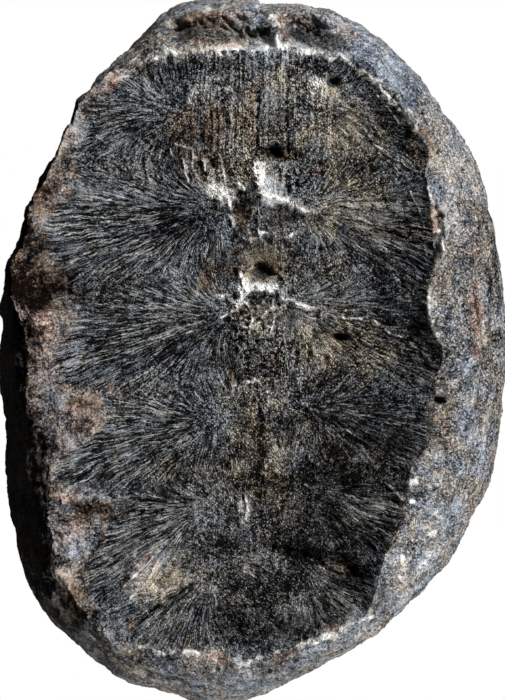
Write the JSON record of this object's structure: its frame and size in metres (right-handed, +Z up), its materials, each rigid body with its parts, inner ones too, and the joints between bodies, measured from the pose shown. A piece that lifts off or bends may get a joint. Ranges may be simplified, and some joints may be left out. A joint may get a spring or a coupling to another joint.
{
  "type": "fossil baby turtle",
  "caption": "Egg-shaped stone whose dished upper face holds a hatchling turtle's fossil shell, with a backbone ridge, fanned rib bones and pits; it lies on its flat foot.",
  "frame": {"origin": "middle of the flat foot on the underside, which the stone lies on", "axes": "+Y along the stone to the shell's head end, +X across it to the broad pale flank, +Z up out of the dish"},
  "size_m": [0.0434, 0.06, 0.0217],
  "materials": {
    "fossil_stone": "dull grained stone with darker, slightly glossy fossil bone in the dish"
  },
  "bodies": {
    "root": {"turtle_fossil": "fossil_stone"}
  },
  "joints": []
}
